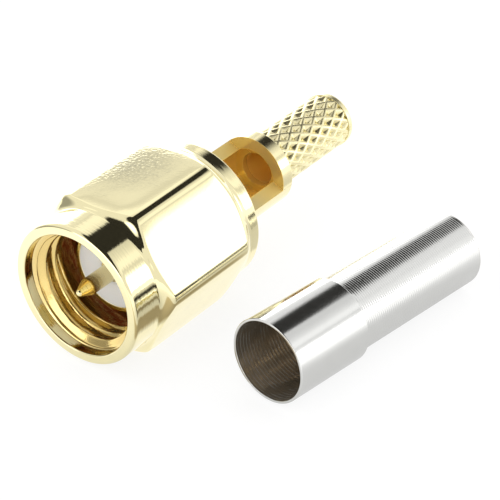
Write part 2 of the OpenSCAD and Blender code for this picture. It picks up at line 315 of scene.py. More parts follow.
def roughen(material, worked, dulling):
    """Adds the dulling to a plated metal's roughness where worked, a socket, is 1."""
    tree = material.node_tree
    roughness = tree.nodes["Principled BSDF"].inputs["Roughness"]
    polish = roughness.links[0].from_socket
    tree.links.new(maths(tree, "MULTIPLY_ADD", worked, dulling, polish), roughness)


gold = (0.865, 0.785, 0.475)
# the deeper, more orange gold is painted shade and painted warm inter-reflection for the insides
# of bores; the window's rear wall takes a share of it as painted shade
bore_shade_gold = (1.0, 0.71, 0.17)
window_shade_share = 0.72  # how much of the deep colour the window's rear wall takes

_, body_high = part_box("connector_body")
mounts = {mount["name"]: mount for mount in frame["record"]["mounts"]}
nose_bore_r, nose_r, nose_end = 2.05, 2.3, 1.9
sleeve_r, sleeve_end = 2.9, 6.9
groove_start, groove_end, groove_r = 5.16, 5.68, 2.48
barrel_r, barrel_end, flange_end = 2.08, 11.45, 12.27
barrel_bore_r, bore_end, insulator_end = 1.4, 11.9, 6.6
cable_r = mounts["cable_entry"]["dims"]["r_mm"]
post_r, post_end = 1.5, body_high.x / mm
band_r, band_start = 1.535, post_end - 0.36
window_start, window_floor, window_turn = 8.25, 0.62, math.radians(30)

body_corners = [
    (0, nose_bore_r), (0, nose_r), (nose_end, nose_r), (nose_end, sleeve_r),
    (groove_start, sleeve_r), (groove_start, groove_r), (groove_end, groove_r),
    (groove_end, sleeve_r), (sleeve_end, sleeve_r), (sleeve_end, barrel_r),
    (flange_end, barrel_r), (flange_end, post_r), (band_start, post_r), (band_start, band_r),
    (post_end, band_r), (post_end, cable_r), (bore_end, cable_r), (bore_end, barrel_bore_r),
    (insulator_end, barrel_bore_r), (insulator_end, nose_bore_r),
]
body_radii = [
    0.03, 0.06, 0.02, 0.04, 0.02, 0.02, 0.02, 0.02, 0.05, 0.02,
    0.06, 0.02, 0.01, 0.02, 0.14, 0.04, 0.03, 0.02, 0.02, 0.02,
]

# the knurl: two crossing sets of ridges, and a pit with four walls in each diamond
knurl_starts, diamond_len, knurl_start = 14, 1.0556, 11.997
ridge_pitch, ridge_half, pit_depth, wall_curve = 0.571, 0.05, 0.18, 1.15
columns_per_start, knurl_gap, plain_gap = 22, 0.042, 0.8
post_outside = 1.4  # rows of the post that reach further out than this are not its bore


def knurl_depth(station, turn):
    """Depth of the knurl below the post's surface, in mm.

    Each set of ridges is a whole number of waves round the post that shift with the station,
    one set forwards and the other back. The distance to the nearest ridge of either set gives
    the depth: none on the ridge, then a nearly straight wall down to the diamond's middle.
    """
    round_part = knurl_starts * turn / (2 * np.pi)
    along_part = (station - knurl_start) / diamond_len
    waves = [round_part + along_part, round_part - along_part]
    near = np.minimum(*[np.abs(wave - np.round(wave)) for wave in waves]) * ridge_pitch
    wall = np.clip((near - ridge_half) / (ridge_pitch / 2 - ridge_half), 0, 1)
    return pit_depth * wall ** wall_curve


def body_gap(x, r):
    """Row spacing: fine on the knurl."""
    on_knurl = (x > flange_end) & (x < band_start) & (r > post_outside)
    return np.where(on_knurl, knurl_gap, plain_gap)


body_columns = columns_per_start * knurl_starts
body_outline = divided(rounded(body_corners, body_radii, steps=4), body_gap)
angles = np.arange(body_columns) * 2 * np.pi / body_columns
station = np.repeat(body_outline[:, :1], body_columns, axis=1)
reach = np.repeat(body_outline[:, 1:], body_columns, axis=1)
on_post = (station > flange_end) & (station < band_start - 0.001) & (reach > post_outside)
reach = np.where(on_post, reach - knurl_depth(station, np.pi / 2 - angles), reach)
body = turned_piece("connector_body_turned", station, reach, angles)


def cut_window(piece):
    """Mills the solder window: a block over the barrel, turned about the axis, is taken away."""
    sharp_from = math.radians(32)
    near, far = window_start * mm, barrel_end * mm
    side, floor, top = 3 * mm, window_floor * mm, 4 * mm
    ends = np.array([[x, y, z] for x in (near, far) for y in (-side, side) for z in (floor, top)])
    faces = [(0, 1, 3, 2), (4, 6, 7, 5), (0, 4, 5, 1), (2, 3, 7, 6), (0, 2, 6, 4), (1, 5, 7, 3)]
    block_mesh = bpy.data.meshes.new("window_cutter")
    block_mesh.from_pydata(ends.tolist(), [], faces)
    block_mesh.transform(Matrix.Rotation(window_turn, 4, "X"))
    block = bpy.data.objects.new("window_cutter", block_mesh)
    bpy.context.scene.collection.objects.link(block)
    cut = piece.modifiers.new("window", "BOOLEAN")
    cut.operation, cut.solver, cut.object = "DIFFERENCE", "EXACT", block
    bpy.context.view_layer.update()
    milled = bpy.data.meshes.new_from_object(
        piece.evaluated_get(bpy.context.evaluated_depsgraph_get())
    )
    piece.modifiers.clear()
    bpy.data.objects.remove(block)
    piece.data = milled
    milled.shade_smooth()
    milled.set_sharp_from_angle(angle=sharp_from)


cut_window(body)


def window_rise(tree):
    """Height over the axis in mm, square to the window's floor."""
    place = add_node(tree, "ShaderNodeTexCoord").outputs["Object"]
    rise = add_node(
        tree, "ShaderNodeVectorMath", {"operation": "DOT_PRODUCT"}, i0=place,
        i1=(0, -1000 * math.sin(window_turn), 1000 * math.cos(window_turn)),
    )
    return rise.outputs["Value"]


def body_shade_mask(tree):
    """Where the painted shade goes: 1 in the bores and on the window's rear wall, less towards
    its front, and 0 outside.
    """
    distance, station = axis_distance(tree)
    in_window = ramp(tree, window_rise(tree), window_floor - 0.05, window_floor - 0.02)
    to_rear = ramp(tree, station, window_start - 0.6, barrel_end - 0.5)
    up_to_wall = ramp(tree, station, barrel_end + 0.05, barrel_end + 0.02)
    wall = maths(tree, "MULTIPLY", in_window, to_rear)
    wall = maths(tree, "MULTIPLY", wall, window_shade_share)
    wall = maths(tree, "MULTIPLY", wall, up_to_wall)
    inside = ramp(tree, distance, barrel_bore_r + 0.2, barrel_bore_r - 0.02)
    in_front = ramp(tree, station, flange_end + 0.02, flange_end - 0.02)
    bore = ramp(tree, distance, cable_r + 0.15, cable_r + 0.01)
    front_part = maths(tree, "MULTIPLY", inside, in_front)
    return maths(tree, "MAXIMUM", maths(tree, "MAXIMUM", front_part, bore), wall)


# the bores and the window's rear wall take the painted shade colour and lose most of their mirror,
# as painted shade
body_gold = plated_metal(
    "gold_body", gold, bore_shade_gold, body_shade_mask, 0.4, Line_height=0.002, Line_pitch=0.07,
    Grain_height=0.0015, Grain_size=0.09, Roughness=0.12, Cloudiness=0.1,
)
body.data.materials.append(body_gold)

# the knurling tool and the window's milling cutter leave a dull surface behind them, and the
# cutter's, the window's floor, is the duller
knurl_dulling, floor_share = 0.2, 2.0
tree = body_gold.node_tree
knurled = ramp(tree, axis_distance(tree)[1], flange_end - 0.02, flange_end + 0.02)
off_floor = maths(tree, "SUBTRACT", window_rise(tree), window_floor)
milled = ramp(tree, maths(tree, "ABSOLUTE", off_floor), 0.03, 0.01)
milled_part = maths(tree, "MULTIPLY", milled, floor_share)
roughen(body_gold, maths(tree, "MAXIMUM", knurled, milled_part), knurl_dulling)
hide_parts("connector_body")
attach(body, "plug")


# ---- Dielectric --------------------------------------------------------------------------
# A PTFE bush, turned from rod and pressed into the nose. It is waxy white and slightly
# translucent, with faint rings from the lathe on its face.

def cloud_group():
    """A colour that drifts in clouds between a dark and a light one, and the clouds as a value."""
    tree, given, made = new_group("Cloudy colour", {
        "Dark": "Color", "Light": "Color", "Scale": "Float", "Detail": "Float",
    }, {"Colour": "Color", "Clouds": "Float"})
    place = add_node(tree, "ShaderNodeTexCoord").outputs["Object"]
    clouds = add_node(
        tree, "ShaderNodeTexNoise", Vector=place, Scale=given["Scale"], Detail=given["Detail"],
    ).outputs["Fac"]
    shades = mixed(tree, clouds, given["Dark"], given["Light"])
    tree.links.new(shades, made.inputs["Colour"])
    tree.links.new(clouds, made.inputs["Clouds"])
    return tree


cloudy_colour = cloud_group()


def cloudy(tree, colour, darkest, lightest, scale, detail):
    """The colour in clouds between two shares of itself, and the clouds."""
    found = add_node(
        tree, "ShaderNodeGroup", {"node_tree": cloudy_colour},
        Dark=(*[darkest * c for c in colour], 1), Light=(*[lightest * c for c in colour], 1),
        Scale=scale, Detail=detail,
    ).outputs
    return found["Colour"], found["Clouds"]


def waxy_plastic(name, colour, roughness):
    """Turned PTFE: soft light inside it, and shallow rings of ever larger radius on its face."""
    ring_pitch, ring_height = 0.12, 0.0006
    material, tree, shader = new_material(name)
    distance, _ = axis_distance(tree)
    rings = maths(tree, "MULTIPLY", distance, 2 * math.pi / ring_pitch)
    wave = maths(tree, "SINE", rings)
    bump = add_node(tree, "ShaderNodeBump", Distance=ring_height * mm, Height=wave)
    tree.links.new(bump.outputs[0], shader.inputs["Normal"])
    shades, _ = cloudy(tree, colour, 0.93, 1.0, 900.0, 3.0)
    tree.links.new(shades, shader.inputs["Base Color"])
    shader.inputs["Roughness"].default_value = roughness
    shader.inputs["Subsurface Weight"].default_value = 0.3
    shader.inputs["Subsurface Radius"].default_value = (1.0, 0.9, 0.8)
    shader.inputs["Subsurface Scale"].default_value = 0.4 * mm
    return material


dielectric = frame["nodes"]["dielectric"]
dielectric.data.materials.clear()
dielectric.data.materials.append(waxy_plastic("ptfe", (0.96, 0.955, 0.94), 0.42))


# ---- Centre contact ----------------------------------------------------------------------
# The centre pin: turned brass with a coned and rounded tip, gold plated, pushed into the
# insulator until its barb holds. Its rear end is the cup that the cable's core is soldered in.

pin = mounts["centre_pin"]
pin_r = pin["dims"]["r_mm"]
contact_low, contact_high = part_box("centre_contact")
tip, cup_end = contact_low.x / mm, contact_high.x / mm
cone_end = tip + 0.76
tip_r, shaft_r, barb_r, barb_at, barb_len = 0.2, 0.635, 0.755, 3.0, 0.4
cup_r, cup_depth = 0.28, 2.0

# the rounded tip, from the pole to where the cone leaves it
tip_turn = np.radians(np.arange(-90, -14, 5))
tip_arc = np.stack([tip + tip_r + tip_r * np.sin(tip_turn), tip_r * np.cos(tip_turn)], axis=-1)
shaft_corners = [
    (cone_end, pin_r), (0, pin_r), (0, shaft_r), (barb_at, shaft_r),
    (barb_at + barb_len, barb_r), (barb_at + barb_len + 0.01, shaft_r), (cup_end, shaft_r),
    (cup_end, cup_r), (cup_end - cup_depth, cup_r),
]
loop = np.vstack([tip_arc[-1:], shaft_corners, [(cup_end - cup_depth, 0)]])
shaft_radii = [0.03, 0.25] + [0.03] * 9
rows_per_corner = 8
shaft = rounded(loop, shaft_radii)[rows_per_corner + 1:-rows_per_corner]
contact_outline = np.vstack([tip_arc, shaft, [(cup_end - cup_depth, 0)]])
contact = plain_turning("centre_contact_turned", contact_outline, 96, poles=True)


def contact_shade_mask(tree):
    """Where the painted shade goes: 1 inside the solder cup and 0 outside: near the axis, but not
    at the pin's tip.
    """
    distance, station = axis_distance(tree)
    inside = ramp(tree, distance, cup_r + 0.02, cup_r - 0.02)
    behind = ramp(tree, station, 1.0, 1.1)
    return maths(tree, "MULTIPLY", inside, behind)


# inside the solder cup the gold takes the painted shade colour
contact_gold = plated_metal(
    "gold_contact", (0.87, 0.765, 0.43), bore_shade_gold, contact_shade_mask, 1.0, Line_height=0.003,
    Line_pitch=0.12, Grain_height=0.001, Grain_size=0.1, Roughness=0.06, Cloudiness=0.06,
)
contact.data.materials.append(contact_gold)

# the tip is polished, and the shaft is left as it was turned
shaft_dulling = 0.2
station = axis_distance(contact_gold.node_tree)[1]
shank = ramp(contact_gold.node_tree, station, cone_end - 0.05, cone_end + 0.15)
roughen(contact_gold, shank, shaft_dulling)
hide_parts("centre_contact")
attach(contact, "plug")


# ---- Gasket ------------------------------------------------------------------------------
# A flat ring of red-brown silicone round the nose, which the jack's rim is pressed against.
# It is moulded, so its surface is satin with a fine bloom and low ribs round the axis.

def silicone(name, colour, highlight_colour):
    """Moulded silicone: satin, with a cloudy bloom, a fine grain and low ribs, whose crests carry
    a painted highlight.
    """
    rib_pitch, ribs_over_grain, grain_height = 0.32, 3.0, 0.009
    material, tree, shader = new_material(name)
    shades, _ = cloudy(tree, colour, 0.7, 1.2, 2500.0, 4.0)
    place = add_node(tree, "ShaderNodeTexCoord").outputs["Object"]
    grain = add_node(tree, "ShaderNodeTexNoise", Vector=place, Scale=12000.0)
    around = maths(tree, "MULTIPLY", axis_distance(tree)[0], 2 * math.pi / rib_pitch)
    ribs = maths(tree, "SINE", around)
    height = maths(tree, "MULTIPLY_ADD", ribs, ribs_over_grain, grain.outputs["Fac"])
    bump = add_node(tree, "ShaderNodeBump", Distance=grain_height * mm, Height=height)
    # the pale crests are a painted highlight, mixed into the colour
    highlit = ramp(tree, ribs, 0.6, 0.95)
    tree.links.new(mixed(tree, highlit, shades, highlight_colour), shader.inputs["Base Color"])
    tree.links.new(bump.outputs[0], shader.inputs["Normal"])
    shader.inputs["Roughness"].default_value = 0.18
    return material


gasket = frame["nodes"]["gasket"]
gasket.data.materials.clear()
# the second colour is the painted highlight on the ribs' crests
gasket.data.materials.append(silicone("silicone", (0.4, 0.06, 0.02), (0.9, 0.62, 0.5)))


# ---- Retaining ring ----------------------------------------------------------------------
# A C-shaped ring of flat spring wire. It is sprung into the sleeve's groove and holds the nut
# on the body. Rolled phosphor bronze, left bright.

def nowhere(tree):
    """No painted shade: 0 all over."""
    distance, _ = axis_distance(tree)
    return ramp(tree, distance, 1.0, 0.5)


ring = frame["nodes"]["retaining_ring"]
ring.data.materials.clear()
# the second colour is a painted shade colour that never shows, as the mask is 0 all over
ring.data.materials.append(plated_metal(
    "spring_bronze", (0.52, 0.3, 0.13), (0.3, 0.15, 0.06), nowhere, 1.0, Line_height=0.001,
    Line_pitch=0.06, Grain_height=0.001, Grain_size=0.08, Roughness=0.28, Cloudiness=0.2,
))


# ---- Coupling nut ------------------------------------------------------------------------
# Hexagonal brass bar with a collar turned at each end, threaded 1/4-36 inside its mouth and
# undercut behind the thread. It is tumbled until its edges are soft, and gold plated.

nut_low, nut_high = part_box("coupling_nut")
mouth, nut_rear = nut_low.x / mm, nut_high.x / mm
flat = nut_high.z / mm
collar_r, nut_bore_r = 3.84, 2.95
hex_start, hex_end = mouth + 1.94, mouth + 8.79
front_slope, rear_slope = math.tan(math.radians(30)), math.tan(math.radians(44))
edge_round, cone_blend, foot_blend = 0.75, 0.24, 0.36
flat_crown, crown_from, crown_to = 0.25, 0.45, 0.86
end_crown, end_margin, crown_len = 0.05, 0.1, 1.2
mouth_r, mouth_depth, lead_in = 3.29, 0.58, 0.25
thread_start = mouth + mouth_depth + lead_in
thread_end, pitch, crest_r = thread_start + 1.45, 25.4 / 36, 2.85
thread_depth, root_blend = 0.5413 * pitch, 0.05
relief_r, shoulder = 3.25, 1.9
ring_front, ring_rear, ring_groove_r = 5.12, 5.72, 3.17

nut_corners = [
    (mouth, mouth_r), (mouth, collar_r), (nut_rear, collar_r), (nut_rear, nut_bore_r),
    (ring_rear, nut_bore_r), (ring_rear, ring_groove_r), (ring_front, ring_groove_r),
    (ring_front, nut_bore_r), (shoulder, nut_bore_r), (shoulder, relief_r),
    (thread_end, relief_r), (thread_end, crest_r), (thread_start, crest_r),
    (mouth + mouth_depth, mouth_r),
]
nut_radii = [0.08, 0.3, 0.13, 0.05, 0.02, 0.02, 0.02, 0.02, 0.02, 0.04, 0.02, 0.02, 0.02, 0.05]


def hexagon_reach(angles):
    """Distance from the axis to a hexagon with rounded corners and crowned flats, at each angle.

    A flat's reach is its distance over the cosine of the angle from its middle. Near a corner
    the reach ends on the small circle that touches both flats. Tumbling wears the flats down
    towards the corners, by the square of the share of the half width past their middle part.
    """
    from_corner = np.abs((angles + np.pi / 6) % (np.pi / 3) - np.pi / 6)
    on_flat = flat / np.cos(np.pi / 6 - from_corner)
    centre = (flat - edge_round) / math.cos(math.pi / 6)
    inside = np.maximum(edge_round ** 2 - (centre * np.sin(from_corner)) ** 2, 0)
    on_round = centre * np.cos(from_corner) + np.sqrt(inside)
    touch = math.pi / 6 - math.atan((flat - edge_round) * math.tan(math.pi / 6) / flat)
    share = np.tan(np.pi / 6 - from_corner) / math.tan(math.pi / 6)
    worn = flat_crown * np.clip(np.minimum(share, crown_to) - crown_from, 0, 1) ** 2
    return np.where(from_corner < touch, on_round, on_flat) - worn


def soft_least(a, b, blend):
    """The smaller of two values, with the crease between them blended away."""
    overlap = np.maximum(blend - np.abs(a - b), 0)
    return np.minimum(a, b) - overlap ** 2 / (4 * blend)


def soft_most(a, b, blend):
    """The larger of two values, with a hollow fillet where they meet."""
    return -soft_least(-a, -b, blend)


def thread_reach(station, angles):
    """Radius of the internal thread: a right-handed helix of 60 degree flanks.

    The distance along the axis from the nearest crest's middle gives the radius: the crest's
    flat is an eighth of the pitch each way, and the flank then falls to the root. The lead-in
    cone cuts the first crest off.
    """
    turns = (station - thread_start) / pitch - angles / (2 * np.pi)
    from_crest = np.abs(turns - np.floor(turns) - 0.5) * pitch
    flank = np.maximum(from_crest - pitch / 8, 0) / math.tan(math.radians(30))
    cut = soft_least(crest_r + flank, crest_r + thread_depth, root_blend)
    cone = mouth_r - (station - mouth - mouth_depth) * (mouth_r - crest_r) / lead_in
    return np.maximum(cut, cone)


corner_half, corner_steps, flat_steps = 6.5, 24, 32
fine_gap, wide_gap = 0.04, 0.4
nut_outside, nut_inside = 3.5, 3.4  # rows beyond the first are outside, within the second inside
chamfer_stations = [hex_start - 0.3, hex_start + 0.85, hex_end - 1.3, hex_end + 0.5]


def nut_columns():
    """Angles round the nut: close together over each rounded corner, wider over the flats."""
    over_corner = np.linspace(-corner_half, corner_half, corner_steps + 1)[:-1]
    half_turn = np.linspace(0, np.pi, flat_steps + 1)[:-1]
    over_flat = 30 - (30 - corner_half) * np.cos(half_turn)
    one_side = np.radians(np.concatenate([over_corner, over_flat]))
    return (one_side[None, :] + np.arange(6)[:, None] * np.pi / 3).ravel()


def nut_gap(x, r):
    """Row spacing: finest on the chamfers of the hexagon and on the thread."""
    front_part = (x > chamfer_stations[0]) & (x < chamfer_stations[1])
    rear_part = (x > chamfer_stations[2]) & (x < chamfer_stations[3])
    on_chamfer = (r > nut_outside) & (front_part | rear_part)
    in_thread = (r < nut_inside) & (x < thread_end)
    return np.where(on_chamfer | in_thread, fine_gap, wide_gap)


nut_outline = rounded(nut_corners, nut_radii)
outer = np.flatnonzero((nut_outline[:, 1] > collar_r - 1e-6) & (nut_outline[:, 0] < 0))[-1]
chamfer_rows = [(x, collar_r) for x in chamfer_stations]
nut_outline = divided(np.insert(nut_outline, outer + 1, chamfer_rows, axis=0), nut_gap)
angles = nut_columns()
station = np.repeat(nut_outline[:, :1], len(angles), axis=1)
reach = np.repeat(nut_outline[:, 1:], len(angles), axis=1)
front_cone = collar_r + (station - hex_start) / front_slope
rear_cone = collar_r + (hex_end - station) / rear_slope
turned_off = soft_most(np.minimum(front_cone, rear_cone), collar_r + 0 * station, foot_blend)
crease_blend = np.clip(2 * (turned_off - collar_r), 1e-6, cone_blend)
from_end = np.minimum(station - hex_start, hex_end - station)
end_wear = end_crown * np.clip(1 - (from_end - end_margin) / crown_len, 0, 1) ** 2
hexagon = soft_least(hexagon_reach(angles) - end_wear, turned_off, crease_blend)
between_collars = (station > chamfer_stations[0]) & (station < chamfer_stations[3])
reach = np.where(between_collars & (reach > nut_outside), hexagon, reach)
on_thread = (station > mouth + mouth_depth) & (station < thread_end - 0.005) & (reach < mouth_r)
reach = np.where(on_thread, thread_reach(station, angles), reach)
nut = turned_piece("coupling_nut_turned", station, reach, angles)


def nut_depths(tree):
    """Where the painted shade and the coarser grain go: 1 inside the nut, behind its mouth, and 0
    outside.
    """
    distance, station = axis_distance(tree)
    inside = ramp(tree, distance, mouth_r + 0.07, mouth_r - 0.03)
    behind = ramp(tree, station, mouth + 0.2, mouth + 0.75)
    return maths(tree, "MULTIPLY", inside, behind)


# inside the nut the gold is painted darker, as painted shade
nut_gold = plated_metal(
    "gold_nut", gold, (0.78, 0.59, 0.23), nut_depths, 0.94, Line_pitch=0.15, Grain_size=0.12,
    Roughness=0.06, Cloudiness=0.08,
)
nut.data.materials.append(nut_gold)

# only what the lathe cut has turning lines: the flats are those of the drawn bar. The grain is
# coarser inside
line_height, grain_height, deep_grain = 0.007, 0.001, 0.004
tree = nut_gold.node_tree
plating = next(node for node in tree.nodes if getattr(node, "node_tree", None) == plated_surface)
turned_part = ramp(tree, axis_distance(tree)[0], collar_r + 0.11, collar_r + 0.03)
line_part = maths(tree, "MULTIPLY", turned_part, line_height)
tree.links.new(line_part, plating.inputs["Line height"])
grain_part = maths(tree, "MULTIPLY_ADD", nut_depths(tree), deep_grain, grain_height)
tree.links.new(grain_part, plating.inputs["Grain height"])

# one flat came out of the plating bath with orange peel, strongest near its rear corner. There
# the gold is mixed towards grey: a painted dark reflection in the peel's slopes
peel_centre, peel_reach, peel_core, edge_swing = (3.8, 2.4, 4.0), 5.4, 1.4, 1.5
peel_height, reflection_grey = 0.018, (0.25, 0.245, 0.2)
place = place_in_mm(tree)
from_patch = add_node(
    tree, "ShaderNodeVectorMath", {"operation": "DISTANCE"}, i0=place, i1=peel_centre,
).outputs["Value"]
edge_noise = add_node(tree, "ShaderNodeTexNoise", Vector=place, Scale=1.6, Detail=2.0)
from_edge = maths(tree, "MULTIPLY_ADD", edge_noise.outputs["Fac"], edge_swing, from_patch)
patch = ramp(tree, from_edge, peel_reach, peel_core)
peel = add_node(tree, "ShaderNodeTexNoise", Vector=place, Scale=6.5, Detail=1.5).outputs["Fac"]
bump = next(node for node in tree.nodes if node.bl_idname == "ShaderNodeBump")
fine = bump.inputs["Height"].links[0].from_socket
height = maths(tree, "MULTIPLY_ADD", peel, maths(tree, "MULTIPLY", patch, peel_height), fine)
tree.links.new(height, bump.inputs["Height"])
shader = tree.nodes["Principled BSDF"]
clear = shader.inputs["Base Color"].links[0].from_socket
# the grey share is painted dark reflection, strongest where the peel is
grey_share = maths(tree, "MULTIPLY", patch, peel)
tree.links.new(mixed(tree, grey_share, clear, reflection_grey), shader.inputs["Base Color"])
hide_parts("coupling_nut")
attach(nut, "nut")


# ---- Crimp ferrule -----------------------------------------------------------------------
# A stepped copper tube, turned and nickel plated, which is slid over the post and crimped.
# The turning tool left fine, even rings along its narrow part and inside its bore.

wide_bore, narrow_bore = mounts["ferrule_wide_bore"], mounts["ferrule_narrow_bore"]
ferrule_start, ferrule_finish = Vector(wide_bore["pos_m"]), Vector(narrow_bore["pos_m"])
ferrule_len = (ferrule_finish - ferrule_start).length / mm
wide_len = wide_bore["dims"]["length_mm"]
step_end = ferrule_len - narrow_bore["dims"]["length_mm"]
wide_in, narrow_in = wide_bore["dims"]["r_mm"], narrow_bore["dims"]["r_mm"]
wide_wall, narrow_wall = 0.14, 0.19
wide_out, narrow_out = wide_in + wide_wall, narrow_in + narrow_wall

ferrule_corners = [
    (0, wide_in), (0, wide_out), (wide_len, wide_out), (step_end, narrow_out),
    (ferrule_len, narrow_out), (ferrule_len, narrow_in), (step_end, narrow_in),
    (wide_len, wide_in),
]
ferrule_radii = [0.03, 0.04, 0.07, 0.06, 0.05, 0.04, 0.05, 0.05]
ring_pitch, ring_depth, bore_pitch, bore_depth = 0.14, 0.0066, 0.21, 0.022
rows_per_ring, smooth_gap, ferrule_columns = 5, 0.5, 128


def ringed(x, r, front_end, rear_end):
    """Where the tool rings are, between two ends: the narrow part's outside, and the wide bore."""
    outside = (x > step_end + 0.1) & (x < rear_end) & (r > narrow_out - 0.01)
    in_bore = (x > front_end) & (x < wide_len - 0.1) & (r < wide_in + 0.01)
    return outside, in_bore


def ferrule_gap(x, r):
    """Row spacing: a fifth of a tool ring where the rings are."""
    outside, in_bore = ringed(x, r, -1, ferrule_len + 1)
    inside_gap = np.where(in_bore, bore_pitch / rows_per_ring, smooth_gap)
    return np.where(outside, ring_pitch / rows_per_ring, inside_gap)


def ring_waves(x, r):
    """Height of the tool rings: a wave along the axis outside, and sharp crests in the bore."""
    outside, in_bore = ringed(x, r, 0.15, ferrule_len - 0.1)
    fine = ring_depth * np.sin(2 * np.pi * x / ring_pitch)
    coarse = bore_depth * np.abs(np.sin(np.pi * x / bore_pitch))
    return np.where(outside, fine, np.where(in_bore, coarse, 0))


ferrule_outline = divided(rounded(ferrule_corners, ferrule_radii), ferrule_gap)
ferrule_outline[:, 1] += ring_waves(*ferrule_outline.T)
ferrule = plain_turning("crimp_ferrule_turned", ferrule_outline, ferrule_columns)
axis = (ferrule_finish - ferrule_start).normalized()
level = Vector((0, 0, 1)).cross(axis).normalized()
upward = axis.cross(level)
placing = Matrix.Translation(ferrule_start) @ Matrix((axis, level, upward)).transposed().to_4x4()
ferrule.data.transform(placing)


def nickel(name, colour, bore_shade_colour, bore_from, roughness):
    """Bright nickel with a fine grain and clouds, darkened in the bore by painted shade.

    The painted shade lies between the tool rings and follows the piece's own UV map, which
    holds the distance along the profile in mm. It leaves the rings' crests bright in broken arcs,
    where the clouds are thick, and takes some of the bore's mirror away.
    """
    grain_height, roughness_swing, bore_polish, bore_shade_metal = 0.0012, 0.06, -0.03, -0.2
    material, tree, shader = new_material(name)
    travel = add_node(tree, "ShaderNodeUVMap", {"uv_map": "turning"})
    along = add_node(tree, "ShaderNodeSeparateXYZ", Vector=travel.outputs[0]).outputs["X"]
    place = add_node(tree, "ShaderNodeTexCoord").outputs["Object"]
    grain = add_node(tree, "ShaderNodeTexNoise", Vector=place, Scale=11000.0, Detail=2.0)
    height = maths(tree, "MULTIPLY", grain.outputs["Fac"], grain_height)
    bump = add_node(tree, "ShaderNodeBump", Distance=mm, Height=height)
    shades, clouds = cloudy(tree, colour, 0.94, 1.0, 1200.0, 3.0)
    least_rough = roughness - roughness_swing / 2
    rough = maths(tree, "MULTIPLY_ADD", clouds, roughness_swing, least_rough)
    in_bore = ramp(tree, along, bore_from, bore_from + 0.1)
    turns = maths(tree, "MULTIPLY", along, 2 * math.pi / bore_pitch)
    between_rings = ramp(tree, maths(tree, "SINE", turns), 0.95, 0.6)
    broken = maths(tree, "MAXIMUM", between_rings, ramp(tree, clouds, 0.5, 0.36))
    shaded_bore = maths(tree, "MULTIPLY", in_bore, broken)
    tree.links.new(mixed(tree, shaded_bore, shades, bore_shade_colour), shader.inputs["Base Color"])
    dulled = maths(tree, "MULTIPLY_ADD", in_bore, bore_polish, rough)
    tree.links.new(dulled, shader.inputs["Roughness"])
    bright = maths(tree, "MULTIPLY_ADD", in_bore, bore_shade_metal, 1.0)
    tree.links.new(bright, shader.inputs["Metallic"])
    tree.links.new(bump.outputs[0], shader.inputs["Normal"])
    return material


# the profile's travel reaches the bore behind both walls and the whole of the outside
bore_from = ferrule_len + wide_wall + narrow_wall + 0.02
# the second colour is the bore's painted shade
ferrule.data.materials.append(nickel(
    "nickel", (0.76, 0.76, 0.74), (0.47, 0.4, 0.3), bore_from, 0.14,
))
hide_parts("crimp_ferrule")
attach(ferrule, "plug")


# ---- Table and light tent ----------------------------------------------------------------
# The plug lies on a white table in a tent of white cloth: pale light from all round, with
# brighter and darker panes low on its sides, and a dark flap where the tent is open above.

table_z, table_half = nut_low.z, 1.5
table_mesh = bpy.data.meshes.new("table")
table_mesh.from_pydata(
    [(x * table_half, y * table_half, table_z) for x, y in [(-1, -1), (1, -1), (1, 1), (-1, 1)]],
    [], [(0, 1, 2, 3)],
)
table = bpy.data.objects.new("table", table_mesh)
bpy.context.scene.collection.objects.link(table)
table_material, tree, shader = new_material("white_table")
shader.inputs["Base Color"].default_value = (0.84, 0.84, 0.83, 1)
shader.inputs["Roughness"].default_value = 0.35
ray = add_node(tree, "ShaderNodeLightPath").outputs
place = place_in_mm(tree)
at = add_node(tree, "ShaderNodeSeparateXYZ", Vector=place).outputs

# metal sees the table with painted shade round the plug, a painted pool of light just beside
# it, and a warm-tinted painted shadow in the strip between plug and ferrule
plug_middle, near_reach, far_reach = (8, -8, table_z / mm), 9.0, 24.0
near_level, far_level = 0.95, 1.9
strip_middle, painted_light_lift, strip_shadow_dip, strip_shadow_tint = -6.3, 0.6, -0.6, (1.0, 0.78, 0.42)
from_plug = add_node(
    tree, "ShaderNodeVectorMath", {"operation": "DISTANCE"}, i0=place, i1=plug_middle,
).outputs["Value"]
mirrored = add_node(
    tree, "ShaderNodeMapRange", Value=from_plug, From_Min=near_reach, From_Max=far_reach,
    To_Min=near_level, To_Max=far_level,
)
off_middle = maths(tree, "ABSOLUTE", maths(tree, "SUBTRACT", at["Y"], strip_middle))
across_strip, up_to_rear = ramp(tree, off_middle, 1.7, 1.0), ramp(tree, at["X"], 10.0, 7.0)
strip = maths(tree, "MULTIPLY", across_strip, up_to_rear)
beside, behind_front = ramp(tree, at["Y"], -4.7, -4.2), ramp(tree, at["X"], -2.0, 0.0)
under = maths(tree, "MULTIPLY", beside, behind_front)
lifted = maths(tree, "MULTIPLY_ADD", under, painted_light_lift, mirrored.outputs[0])
dimmed = maths(tree, "MULTIPLY_ADD", strip, strip_shadow_dip, lifted)
warm_shadow = mixed(tree, strip, (1, 1, 1), strip_shadow_tint)
mirror_glow = add_node(tree, "ShaderNodeEmission", Color=warm_shadow, Strength=dimmed)
mirror_paper = add_node(tree, "ShaderNodeBsdfDiffuse", Color=(0.62, 0.62, 0.62, 1))
in_mirror = add_node(
    tree, "ShaderNodeMixShader", Fac=0.4, i1=mirror_glow.outputs[0], i2=mirror_paper.outputs[0],
)

